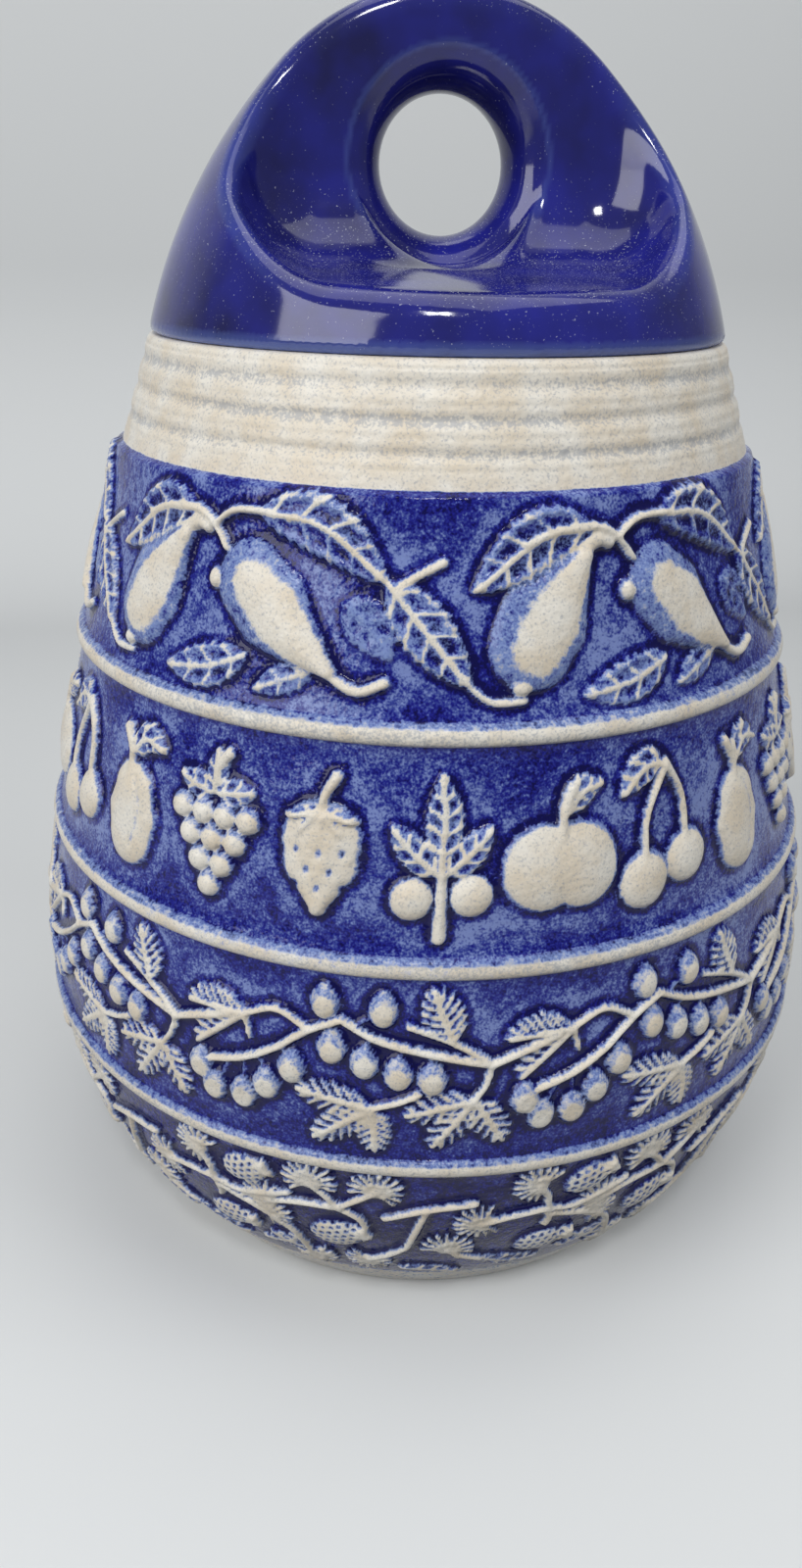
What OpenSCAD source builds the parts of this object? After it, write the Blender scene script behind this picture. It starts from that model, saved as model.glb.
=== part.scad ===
// Lidded stoneware fruit crock: an egg-shaped jar with a stepped neck, raised girdles
// and a ring foot, and a domed lid whose pierced fin is the handle.
// Origin on the axis at the foot's underside, +Z up, -Y is the front. Millimetres.

/* [Jar] */
// Height of the jar up to the rim that the lid rests on
jar_h = 250; // [235:1:265]
// Radius of the belly at its widest, without the relief
belly_r = 113.8; // [110:0.2:118]
// Height of the widest point
belly_z = 80; // [72:1:88]
// Radius of the belly's upright curve
belly_curve = 126; // [118:1:136]
// Radius of the long, nearly straight curve from the belly to the rim
shoulder_curve = 900; // [700:10:1300]
// Outer radius of the rim
rim_r = 74; // [71:0.5:77]
// Thickness of the jar's wall
wall = 7; // [6:0.5:8]
// Thickness of the jar's base above the foot's recess
base_t = 9; // [7:0.5:12]
// Radius of the inside corner between wall and base
base_round = 22; // [12:1:30]
// Radius of the rim's two rounded edges
rim_round = 2.2; // [1.5:0.1:3]

/* [Foot] */
// Width of the ring that the jar stands on
foot_w = 12; // [8:1:16]
// Depth of the recess inside the ring
foot_recess = 3; // [2:0.5:4]
// Radius of the foot's outer edge
foot_round = 2.5; // [1.5:0.5:3.5]
// Height of the groove that ends the glazed frieze above the foot
foot_groove_z = 16; // [14:0.5:22]

/* [Girdles] */
// Height of the lowest raised girdle
girdle_low_z = 71; // [66:0.5:76]
// Height of the middle girdle
girdle_mid_z = 124.5; // [119:0.5:130]
// Height of the upper girdle
girdle_top_z = 176.5; // [171:0.5:182]
// How far a girdle stands out of the wall
girdle_h = 2.6; // [1.6:0.1:2.9]
// Width of a girdle
girdle_w = 6; // [5.8:0.1:7.4]

/* [Neck] */
// Height of the plain neck below the rim
neck_h = 25; // [21:0.5:29]
// How far the shoulder stands out where the neck begins
neck_step = 1; // [0.5:0.1:1.5]
// Height over which that step runs out into the shoulder
step_run = 14; // [8:1:20]
// Distance from one throwing ring to the next
ring_pitch = 6.6; // [5.6:0.1:7]
// Number of throwing rings
ring_count = 3; // [1:1:3]
// Radius of the round tool mark between rings
ring_tool = 2.4; // [1.6:0.1:3]
// Depth of a tool mark
ring_depth = 0.6; // [0.3:0.1:0.9]

/* [Relief] */
// How far the moulded fruit stands out of the wall
fruit_h = 2.4; // [1.8:0.1:2.6]
// How far the moulded leaves stand out of the wall
leaf_h = 1.5; // [1:0.1:1.8]
// Radius of a currant
currant_r = 3.4; // [2.8:0.1:3.8]
// Number of pear twigs round the shoulder
pear_count = 6; // [5:1:6]
// Number of fruits in the middle band, in sixes
fruit_count = 24; // [18:6:24]
// Number of currant branches round the belly
currant_count = 9; // [7:1:9]
// Number of raspberry canes above the foot
cane_count = 8; // [6:1:8]

/* [Lid] */
// Lean of the lid's side at its edge, in degrees from upright
lid_lean = 15; // [12:1:18]
// Radius of the lid's side curve
lid_curve = 131; // [124:1:140]
// Radius of the round crown
crown_curve = 56; // [50:1:62]
// Thickness of the lid's wall
lid_wall = 6; // [5:0.5:7]
// Radius of the lid's lower outer edge
lid_round = 2.4; // [1.5:0.1:3]
// Depth of the flange that keeps the lid in the mouth
flange_h = 7; // [5:0.5:10]
// Thickness of the flange
flange_t = 5; // [4:0.5:6]
// Gap all round between the flange and the mouth
flange_gap = 1.2; // [0.8:0.1:2]

/* [Handle] */
// Thickness of the fin between the two scoops
fin_t = 24; // [22:0.5:27]
// Half the width of each scoop
scoop_half_w = 52; // [49:0.5:54]
// Radius that rounds every inside corner of a scoop
scoop_round = 20; // [17:0.5:22]
// Height of the scoop's floor at the foot of the fin
scoop_floor_z = 16; // [14:0.5:19]
// Fall of the scoop's floor towards the lid's edge, in degrees
scoop_fall = 6; // [3:0.5:8]
// Radius of the finger hole at its throat
hole_r = 15.5; // [13:0.5:17]
// Height of the finger hole's axis above the rim
hole_z = 38.5; // [37.5:0.5:41]
// Radius of the rounding that opens the hole to both faces
hole_lip = 14; // [13.5:0.5:16]

/* [Hidden] */
$fn = 96;
eps = 0.01;
jar_colour = "#4a62b0";
lid_colour = "#1c1c96";

// Points on an arc about c, from angle a0 to a1, one every step degrees or less
function arc(c, r, a0, a1, step) =
    let(n = max(2, ceil(abs(a1 - a0) / step)))
    [for (i = [0:n]) let(a = a0 + (a1 - a0) * i / n) c + r * [cos(a), sin(a)]];

// Where the circles of radius rp about p and rq about q meet, on the left of p to q
function meet(p, rp, q, rq) =
    let(d = norm(q - p), u = (q - p) / d, a = (rp * rp - rq * rq + d * d) / (2 * d))
    p + a * u + sqrt(rp * rp - a * a) * [-u[1], u[0]];

// Direction from one point of the profile to another, in degrees
function heading(p, q) = atan2(q[1] - p[1], q[0] - p[0]);

// Radius at height z on the arc of radius r about c
function on_arc(c, r, z) = c[0] + sqrt(r * r - pow(z - c[1], 2));

// Jar profile: a belly arc that runs smoothly into a shoulder arc through the rim's edge
mouth_r = rim_r - wall;
belly_c = [belly_r - belly_curve, belly_z];
shoulder_c = meet(belly_c, shoulder_curve - belly_curve, [rim_r, jar_h], shoulder_curve);
join_a = heading(shoulder_c, belly_c);
foot_c = [on_arc(belly_c, belly_curve - foot_round, foot_round), foot_round];
foot_r = foot_c[0];
floor_z = foot_recess + base_t;
neck_z = jar_h - neck_h;
corner_z = floor_z + base_round;
corner_c = [on_arc(belly_c, belly_curve - wall - base_round, corner_z), corner_z];
fine = 2;
long = 0.6;
skin_depth = wall / 2;
foot_lean = asin((foot_groove_z - belly_z) / belly_curve);
frieze_turn = 20;

// Outer radius of the plain wall at height z
join_z = belly_c[1] + belly_curve * sin(join_a);
function wall_r(z) = z > join_z ? on_arc(shoulder_c, shoulder_curve, z) : on_arc(belly_c, belly_curve, z);

// Angle on the shoulder arc at height z
function shoulder_angle(z) = asin((z - shoulder_c[1]) / shoulder_curve);

// Circle through a bump of height h and width w
function bump_r(h, w) = (h * h + w * w / 4) / (2 * h);

module jar_section() {
    edge_z = jar_h - rim_round;
    rim_c = [on_arc(shoulder_c, shoulder_curve - rim_round, edge_z), edge_z];
    lip_c = [on_arc(shoulder_c, shoulder_curve - wall + rim_round, edge_z), edge_z];
    rim_a = heading(shoulder_c, rim_c);
    lip_a = heading(shoulder_c, lip_c);
    polygon(concat(
        [[0, foot_recess], [foot_r - foot_w, foot_recess], [foot_r - foot_w, 0]],
        arc(foot_c, foot_round, -90, heading(belly_c, foot_c), 12),
        arc(belly_c, belly_curve, heading(belly_c, foot_c), join_a, fine),
        arc(shoulder_c, shoulder_curve, join_a, shoulder_angle(neck_z - step_run), long),
        [[wall_r(neck_z - neck_step) + neck_step, neck_z - neck_step]],
        arc(shoulder_c, shoulder_curve, shoulder_angle(neck_z), rim_a, long),
        arc(rim_c, rim_round, rim_a, 90, 12),
        arc(lip_c, rim_round, 90, lip_a + 180, 12),
        arc(shoulder_c, shoulder_curve - wall, lip_a, join_a, long),
        arc(belly_c, belly_curve - wall, join_a, heading(belly_c, corner_c), fine),
        arc(corner_c, base_round, heading(belly_c, corner_c), -90, 8),
        [[0, floor_z]]));
}

module girdle_section(z) {
    r = bump_r(girdle_h, girdle_w);
    translate([wall_r(z) + girdle_h - r, z]) circle(r = r, $fn = 48);
}

// A shallow round tool mark in the wall at height z
module mark_section(z) {
    translate([wall_r(z) + ring_tool - ring_depth, z]) circle(r = ring_tool, $fn = 32);
}

// Lean of the wall at height z: how far its outward direction points up, in degrees
function lean(z) = z > join_z ? shoulder_angle(z) : asin((z - belly_z) / belly_curve);

// Puts a form on the wall: its z points outward, its y up, its x to the right
module on_wall(turn, z) {
    rotate([0, 0, turn]) translate([0, -wall_r(z), z]) rotate([90 - lean(z), 0, 0]) children();
}

// A fruit's low dome: place is how far right of the turn, how far above z, and half its width
module dome(turn, z, place) {
    r = bump_r(fruit_h, 2 * place[2]);
    on_wall(turn + place[0] / wall_r(z) * 180 / PI, z + place[1])
        rotate_extrude($fn = 40) intersection() {
            translate([0, fruit_h - r]) circle(r = r, $fn = 120);
            translate([0, -skin_depth]) square([2 * r, skin_depth + 2 * fruit_h]);
        }
}

// A leaf's outline from its stalk to its tip, as a block through the wall; half is half its width
module leaf(turn, z, stalk, tip, half) {
    run = tip - stalk;
    middle = (stalk + tip) / 2;
    r = bump_r(half, norm(run));
    on_wall(turn + middle[0] / wall_r(z) * 180 / PI, z + middle[1])
        rotate([0, 0, atan2(run[1], run[0])]) translate([0, 0, -skin_depth - 1])
            linear_extrude(skin_depth + 6) intersection() {
                translate([0, half - r]) circle(r = r);
                translate([0, r - half]) circle(r = r);
            }
}

// A solid that follows the wall at a distance h outside it
module core(h) {
    rotate_extrude($fn = 180) polygon(concat(
        [[0, belly_z - (belly_curve + h) * sin(-foot_lean)]],
        arc(belly_c, belly_curve + h, foot_lean, join_a, fine),
        arc(shoulder_c, shoulder_curve + h, join_a, shoulder_angle(neck_z), long),
        [[0, shoulder_c[1] + (shoulder_curve + h) * sin(shoulder_angle(neck_z))]]));
}

// Places and sizes in each frieze, from the middle of its repeat: right, up and half width
pears = [[-24, -4, 9.2], [-15.5, 7, 5.4], [9.5, 2, 10], [20, -6.5, 5.6]];
pear_leaves = [[[-9, 19], [-38, 6], 6.4], [[8, 21], [39, 8], 6.6], [[39, 7], [57, -15], 6]];
apple = [[0, -4, 10.5]];
cherries = [[-6, -10, 6.4], [6.5, -7, 6]];
plum = [[0, -4, 9]];
grapes = [[-4.6, 0, 5.2], [4.6, 0, 5.2], [0, -8, 5.2]];
strawberry = [[0, -2, 8.6], [0, -10, 5]];
sprig = [[-6.5, -9.5, 4.6], [6.5, -8.5, 4.6]];
fruits = [apple, cherries, plum, grapes, strawberry, sprig];
fruit_leaf = [[0, 8], [4, 19], 3.8];
currants = [[-29, -10, currant_r], [-13, -4, currant_r], [12, 2, currant_r], [5, 16.5, currant_r]];
currant_leaves = [[[-20, 10], [-39, 7], 5], [[34, -5], [23, -19], 6.5], [[11, -8], [-3, -19], 6.5]];
raspberries = [[-39, -2, 7], [21, 16, 6], [16, -9, 6]];
cane_leaves = [[[-34, 11], [-46, 22], 5]];

// All the domes of a frieze whose middle is at height z
module fruit_frieze(count, z, places) {
    for (i = [1:count], place = places) dome(360 * i / count + frieze_turn, z, place);
}

// All the leaves of a frieze whose middle is at height z
module leaf_frieze(count, z, leaves) {
    for (i = [1:count], l = leaves) leaf(360 * i / count + frieze_turn, z, l[0], l[1], l[2]);
}

module jar() {
    shoulder_mid = (girdle_top_z + neck_z) / 2;
    band_mid = (girdle_mid_z + girdle_top_z) / 2;
    belly_mid = (girdle_low_z + girdle_mid_z) / 2;
    foot_mid = (foot_groove_z + girdle_low_z) / 2;
    color(jar_colour) union() {
        rotate_extrude($fn = 180) {
            difference() {
                jar_section();
                for (i = [1:ring_count]) mark_section(neck_z + ring_pitch * i);
                mark_section(foot_groove_z);
            }
            for (z = [girdle_low_z, girdle_mid_z, girdle_top_z]) girdle_section(z);
        }
        fruit_frieze(pear_count, shoulder_mid, pears);
        for (kind = [0:5], i = [0:6:fruit_count - 1], place = fruits[kind])
            dome(360 * (i + kind) / fruit_count, band_mid, place);
        fruit_frieze(currant_count, belly_mid, currants);
        fruit_frieze(cane_count, foot_mid, raspberries);
        intersection() {
            core(leaf_h);
            union() {
                leaf_frieze(pear_count, shoulder_mid, pear_leaves);
                leaf_frieze(fruit_count, band_mid, [fruit_leaf]);
                leaf_frieze(currant_count, belly_mid, currant_leaves);
                leaf_frieze(cane_count, foot_mid, cane_leaves);
            }
        }
    }
}

// Lid profile: a side arc that leans in from the rim, and a crown arc on the axis
side_c = [rim_r - lid_curve * cos(lid_lean), -lid_curve * sin(lid_lean)];
crown_a = acos(-side_c[0] / (lid_curve - crown_curve));
crown_c = [0, side_c[1] + (lid_curve - crown_curve) * sin(crown_a)];
lid_h = crown_c[1] + crown_curve;
flange_r = mouth_r - flange_gap;
lid_edge_c = [on_arc(side_c, lid_curve - lid_round, lid_round), lid_round];
face_y = fin_t / 2;
hole_face_r = hole_r + hole_lip - sqrt(hole_lip * hole_lip - face_y * face_y);
reach = rim_r + scoop_round;

module dome_section() {
    polygon(concat(
        [[0, 0]],
        arc(lid_edge_c, lid_round, -90, heading(side_c, lid_edge_c), 12),
        arc(side_c, lid_curve, heading(side_c, lid_edge_c), crown_a, fine),
        arc(crown_c, crown_curve, crown_a, 90, 3)));
}

module flange_section() {
    translate([flange_r - flange_t, -flange_h]) square([flange_t, flange_h + eps]);
}

// The room under the dome, up to the inside of its wall
module hollow_section() {
    intersection() {
        polygon(concat(
            [[0, -eps]], [[rim_r, -eps]],
            arc(side_c, lid_curve - lid_wall, lid_lean, crown_a, fine),
            arc(crown_c, crown_curve - lid_wall, crown_a, 90, 3)));
        translate([0, -2 * eps]) square([flange_r - flange_t, lid_h]);
    }
}

// One scoop: a round-cornered block that leaves the fin's face and a sloping floor
module scoop(grow = 0) {
    near = face_y + scoop_round;
    fall = (reach - near) * tan(scoop_fall);
    low = scoop_floor_z + scoop_round;
    side = scoop_half_w - scoop_round;
    hull()
        for (x = [-side, side]) {
            translate([x, near, low]) sphere(r = scoop_round + grow, $fn = 48);
            translate([x, near, lid_h + low]) sphere(r = scoop_round + grow, $fn = 48);
            translate([x, reach, low - fall]) sphere(r = scoop_round + grow, $fn = 48);
            translate([x, reach, lid_h + low]) sphere(r = scoop_round + grow, $fn = 48);
        }
}

// The finger hole: a throat that opens like a trumpet to both faces of the fin
module finger_hole(grow = 0) {
    translate([0, 0, hole_z]) rotate([90, 0, 0]) rotate_extrude() difference() {
        translate([0, -reach]) square([hole_face_r + grow, 2 * reach]);
        translate([hole_r + hole_lip, 0]) circle(r = hole_lip - grow);
    }
}

module lid() {
    color(lid_colour) translate([0, 0, jar_h]) difference() {
        rotate_extrude($fn = 180) {
            dome_section();
            flange_section();
        }
        for (side = [0, 1]) mirror([0, side, 0]) scoop();
        finger_hole();
        difference() {
            rotate_extrude($fn = 180) hollow_section();
            for (side = [0, 1]) mirror([0, side, 0]) scoop(lid_wall);
            finger_hole(lid_wall);
        }
    }
}

jar();
lid();
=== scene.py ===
"""Salt-glazed fruit crock with moulded friezes and a pierced, scooped lid.

Sizes are in millimetres while a shape is worked out, and in metres in the mesh.
The -Y side is the front, and the origin is on the axis under the foot.
"""
import math

import bmesh
import bpy
import numpy as np
from mathutils import Matrix, Vector


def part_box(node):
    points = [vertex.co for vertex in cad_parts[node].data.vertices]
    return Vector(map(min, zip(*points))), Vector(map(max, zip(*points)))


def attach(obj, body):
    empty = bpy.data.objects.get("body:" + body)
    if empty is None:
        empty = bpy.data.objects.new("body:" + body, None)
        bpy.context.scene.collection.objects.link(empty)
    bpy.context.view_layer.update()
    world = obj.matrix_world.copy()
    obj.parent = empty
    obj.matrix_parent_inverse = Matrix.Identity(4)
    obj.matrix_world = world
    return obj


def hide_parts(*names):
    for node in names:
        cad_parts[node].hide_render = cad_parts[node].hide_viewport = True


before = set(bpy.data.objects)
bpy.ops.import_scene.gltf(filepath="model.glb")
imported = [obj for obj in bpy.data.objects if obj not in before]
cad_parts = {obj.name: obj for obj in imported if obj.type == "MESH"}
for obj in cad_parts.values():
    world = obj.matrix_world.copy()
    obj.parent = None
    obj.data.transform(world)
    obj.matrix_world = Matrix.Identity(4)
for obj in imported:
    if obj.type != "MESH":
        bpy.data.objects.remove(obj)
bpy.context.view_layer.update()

bl_info = {
    "name": "Fruit Crock",
    "version": (1, 0, 0),
    "blender": (4, 5, 0),
    "location": "3D View > Sidebar > Crock",
    "description": "Builds a relief-moulded stoneware crock, its pierced lid and a plain studio stage",
    "category": "Object",
}

MM = 0.001
JAR_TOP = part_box("lid")[0][2] / MM + 7.0


def linear(code):
    """An sRGB hex colour as linear red, green and blue."""
    parts = [int(code[i:i + 2], 16) / 255 for i in (1, 3, 5)]
    return tuple(c / 12.92 if c <= 0.04045 else ((c + 0.055) / 1.055) ** 2.4 for c in parts)


def colour(name, description, code):
    """A colour property with its default as hex."""
    return bpy.props.FloatVectorProperty(
        name=name, description=description, default=linear(code), subtype="COLOR", min=0, max=1)


def length(name, description, millimetres):
    """A length property whose value is in millimetres."""
    return bpy.props.FloatProperty(name=name, description=description, default=millimetres, min=0)


# Sizes and colours that a user would change


class CROCK_PG_jar(bpy.types.PropertyGroup):
    """Form of the turned jar, as in the solid model"""
    jar_h: length("Jar height", "Height of the rim, in mm", JAR_TOP)
    belly_r: length("Belly radius", "Widest radius of the plain wall, in mm", 113.8)
    belly_z: length("Belly height", "Height of the widest point, in mm", 80)
    belly_curve: length("Belly curve", "Radius of the belly's upright arc, in mm", 126)
    shoulder_curve: length("Shoulder curve", "Radius of the long shoulder arc, in mm", 900)
    rim_r: length("Rim radius", "Outer radius of the rim, in mm", 74)
    wall: length("Wall", "Wall thickness, in mm", 7)
    base: length("Base", "Base thickness above the recess, in mm", 9)
    corner: length("Inside corner", "Radius between the wall and the base inside, in mm", 22)
    rim_round: length("Rim rounding", "Radius of the rim's edges, in mm", 2.2)
    foot_w: length("Foot width", "Width of the foot ring, in mm", 12)
    foot_recess: length("Foot recess", "Depth of the recess in the foot, in mm", 3)
    foot_round: length("Foot rounding", "Radius of the foot's outer edge, in mm", 2.5)
    foot_line: length("Foot groove", "Height of the groove above the foot, in mm", 16)
    girdle_low: length("Low girdle", "Height of the lowest girdle, in mm", 71)
    girdle_mid: length("Middle girdle", "Height of the middle girdle, in mm", 124.5)
    girdle_top: length("Upper girdle", "Height of the upper girdle, in mm", 176.5)
    girdle_h: length("Girdle relief", "How far a girdle stands out, in mm", 2.6)
    girdle_w: length("Girdle width", "Width of a girdle, in mm", 6)
    neck_z: length("Neck base", "Height where the bare neck begins, in mm", 225)
    neck_step: length("Neck step", "Ledge under the neck, in mm", 1)
    ring_pitch: length("Ring pitch", "Distance between throwing rings, in mm", 6.6)


class CROCK_PG_relief(bpy.types.PropertyGroup):
    """Depth of the moulded friezes"""
    ground: length("Ground", "How far the glazed ground stands off the wall, in mm", 0.3)
    depth: bpy.props.FloatProperty(
        name="Relief depth", description="Scales the height of all moulded fruit and leaves",
        default=1.0, min=0.2, max=1.5, subtype="FACTOR")
    limit: length("Largest radius", "No relief stands out further than this, in mm", 116.0)


class CROCK_PG_lid(bpy.types.PropertyGroup):
    """Form of the lid, as in the solid model"""
    lean: bpy.props.FloatProperty(
        name="Lean", description="Lean of the lid's side at its edge", default=math.radians(15),
        subtype="ANGLE", unit="ROTATION")
    side_curve: length("Side curve", "Radius of the lid's side, in mm", 131)
    crown_curve: length("Crown curve", "Radius of the crown, in mm", 56)
    wall: length("Lid wall", "Thickness of the lid's wall, in mm", 6)
    flange_h: length("Flange height", "Depth of the flange, in mm", 7)
    flange_t: length("Flange thickness", "Thickness of the flange, in mm", 5)
    flange_r: length("Flange radius", "Outer radius of the flange, in mm", 65.8)
    fin_t: length("Fin thickness", "Thickness of the fin, in mm", 24)
    scoop_half_w: length("Scoop half width", "Half the width of a scoop, in mm", 52)
    scoop_round: length("Scoop rounding", "Radius of a scoop's inside corners, in mm", 20)
    scoop_floor: length("Scoop floor", "Height of the scoop's floor at the fin, in mm", 16)
    scoop_fall: bpy.props.FloatProperty(
        name="Scoop fall", description="Fall of the scoop's floor", default=math.radians(6),
        subtype="ANGLE", unit="ROTATION")
    hole_r: length("Finger hole", "Radius of the hole's throat, in mm", 15.5)
    hole_z: length("Hole height", "Height of the hole's axis above the rim, in mm", 38.5)
    hole_lip: length("Hole lip", "Radius of the hole's rounding, in mm", 14)
    edge: length("Edge softness", "How far a scoop's outer edge is softened, in mm", 5)


class CROCK_PG_finish(bpy.types.PropertyGroup):
    """Colours of the clay and the glazes"""
    cobalt: colour("Cobalt ground", "Slip glaze at its usual thickness", "#3a4794")
    cobalt_deep: colour("Deep cobalt", "Slip glaze where it lies thick", "#1c1f84")
    cobalt_pale: colour("Thin cobalt", "Slip glaze where it is thin", "#7b8bc2")
    cobalt_veil: colour("Cobalt veil", "What is left of the slip beside the wiped clay", "#8196c8")
    # the pooled cobalt is also the darkest colour of the painted shade in the hollows and low on the jar
    cobalt_pool_and_shade: colour("Pooled cobalt", "Slip glaze where it gathers", "#0c0b4a")
    clay: colour("Wiped clay", "Salt-glazed clay where the slip was wiped off", "#e9e4d9")
    clay_warm: colour("Warm clay", "The same clay where the fire turned it beige", "#dfd3bf")
    clay_speck: colour("Clay speckle", "Grey-blue grains left on the clay", "#9ba1aa")
    liner: colour("Liner glaze", "Glaze inside the jar", "#cfc8b8")
    bare_clay: colour("Bare clay", "Unglazed foot", "#b9ab96")
    lid_glaze: colour("Lid glaze", "Gloss glaze of the lid", "#1a1d88")
    lid_deep: colour("Thick lid glaze", "Gloss glaze where it is thick", "#0b0b4e")
    lid_thin: colour("Thin lid glaze", "Gloss glaze on edges", "#5d72b8")
    dust: colour("Dust", "Dust lying on the lid", "#c9ccd8")


class CROCK_PG_stage(bpy.types.PropertyGroup):
    """Camera of the photograph and the floor"""
    distance: length("Camera distance", "From the axis, in mm", 319.6)
    height: length("Camera height", "Above the floor, in mm", 270.8)
    azimuth: bpy.props.FloatProperty(
        name="Azimuth", description="Turn of the camera round the jar", default=math.radians(-10),
        subtype="ANGLE", unit="ROTATION")
    pitch: bpy.props.FloatProperty(
        name="Pitch", description="Camera's fall", default=math.radians(25.48),
        subtype="ANGLE", unit="ROTATION")
    yaw: bpy.props.FloatProperty(
        name="Yaw", description="Camera's turn off the axis", default=math.radians(-1.26),
        subtype="ANGLE", unit="ROTATION")
    roll: bpy.props.FloatProperty(
        name="Roll", description="Camera's roll", default=math.radians(1.05),
        subtype="ANGLE", unit="ROTATION")
    lens: bpy.props.FloatProperty(
        name="Lens", description="Focal length on a sensor 36 mm high", default=25.98, unit="CAMERA")
    paper: colour("Paper", "Colour of the studio paper", "#e3e5e5")
    bounce: colour("Bounce", "Colour of the light that the paper throws back", "#5c5f62")


# The jar's wall and girdles, as functions of height


def on_arc(centre, radius, z):
    """Radius at height z on an arc about centre."""
    return centre[0] + np.sqrt(radius * radius - (z - centre[1]) ** 2)


def meeting(p, rp, q, rq):
    """Where the circles of radius rp about p and rq about q meet, left of p to q."""
    d = math.dist(p, q)
    ux, uy = (q[0] - p[0]) / d, (q[1] - p[1]) / d
    a = (rp * rp - rq * rq + d * d) / (2 * d)
    b = math.sqrt(rp * rp - a * a)
    return p[0] + a * ux - b * uy, p[1] + a * uy + b * ux


class Wall:
    """Outer and inner wall of the jar."""

    def __init__(self, jar):
        self.jar = jar
        self.belly = (jar.belly_r - jar.belly_curve, jar.belly_z)
        self.shoulder = meeting(
            self.belly, jar.shoulder_curve - jar.belly_curve, (jar.rim_r, jar.jar_h), jar.shoulder_curve)
        join = math.atan2(self.belly[1] - self.shoulder[1], self.belly[0] - self.shoulder[0])
        self.join_z = self.belly[1] + jar.belly_curve * math.sin(join)

    def outer(self, z, inward=0.0):
        """Radius of the plain wall at height z, or of a line inward of it."""
        z = np.asarray(z, float)
        low = on_arc(self.belly, self.jar.belly_curve - inward, np.minimum(z, self.join_z))
        high = on_arc(self.shoulder, self.jar.shoulder_curve - inward, np.maximum(z, self.join_z))
        return np.where(z > self.join_z, high, low)

    def girdle(self, z):
        """How far the girdles stand out at height z."""
        jar, out = self.jar, np.zeros_like(np.asarray(z, float))
        r = (jar.girdle_h ** 2 + jar.girdle_w ** 2 / 4) / (2 * jar.girdle_h)
        for centre in (jar.girdle_low, jar.girdle_mid, jar.girdle_top):
            cap = np.sqrt(np.maximum(r * r - (z - centre) ** 2, 0)) - (r - jar.girdle_h)
            out = np.maximum(out, cap)
        return out

    def marks(self, z):
        """Depth of the throwing rings on the neck, and of the groove above the foot."""
        jar, out = self.jar, np.zeros_like(np.asarray(z, float))
        for i, (deep, wide) in enumerate(((0.55, 1.3), (0.6, 1.4), (0.5, 1.5))):
            centre = jar.neck_z + jar.ring_pitch * (i + 1)
            out += deep * np.exp(-((z - centre) / wide) ** 2)
            out += 0.12 * np.exp(-((z - centre + 2.9 + 0.4 * i) / 0.6) ** 2)
        return out + 0.7 * np.exp(-((z - jar.foot_line) / 1.0) ** 2)


def smooth(low, high, value):
    """0 below low, 1 above high, and smooth between."""
    t = np.clip((value - low) / (high - low), 0, 1)
    return t * t * (3 - 2 * t)


def shown(name, bm, materials, body, node):
    """A finished piece from a bmesh: smooth-shaded, at the origin, riding on its body."""
    mesh = bpy.data.meshes.new(name)
    bm.to_mesh(mesh)
    bm.free()
    return shown_mesh(name, mesh, materials, body, node)


def shown_mesh(name, mesh, materials, body, node):
    """A finished piece from a mesh."""
    mesh.name = name
    mesh.polygons.foreach_set("use_smooth", np.ones(len(mesh.polygons), bool))
    mesh.materials.clear()
    for material in materials:
        mesh.materials.append(material)
    piece = bpy.data.objects.new(name, mesh)
    bpy.context.scene.collection.objects.link(piece)
    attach(piece, body)
    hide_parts(node)
    return piece


def points_of(mesh):
    """The mesh's points in millimetres, one row each."""
    flat = np.empty(len(mesh.vertices) * 3, np.float32)
    mesh.vertices.foreach_get("co", flat)
    return flat.reshape(-1, 3).astype(float) / MM


def move_points(mesh, points):
    """Puts the mesh's points at these places in millimetres."""
    mesh.vertices.foreach_set("co", (points * MM).astype(np.float32).ravel())
    mesh.update()


def paint(mesh, name, values):
    """Stores one number per point for a material to read."""
    layer = mesh.attributes.new(name, "FLOAT", "POINT")
    layer.data.foreach_set("value", np.asarray(values, np.float32).ravel())


# Moulded relief: heights over a flat strip, one repeat of the pattern


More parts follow.
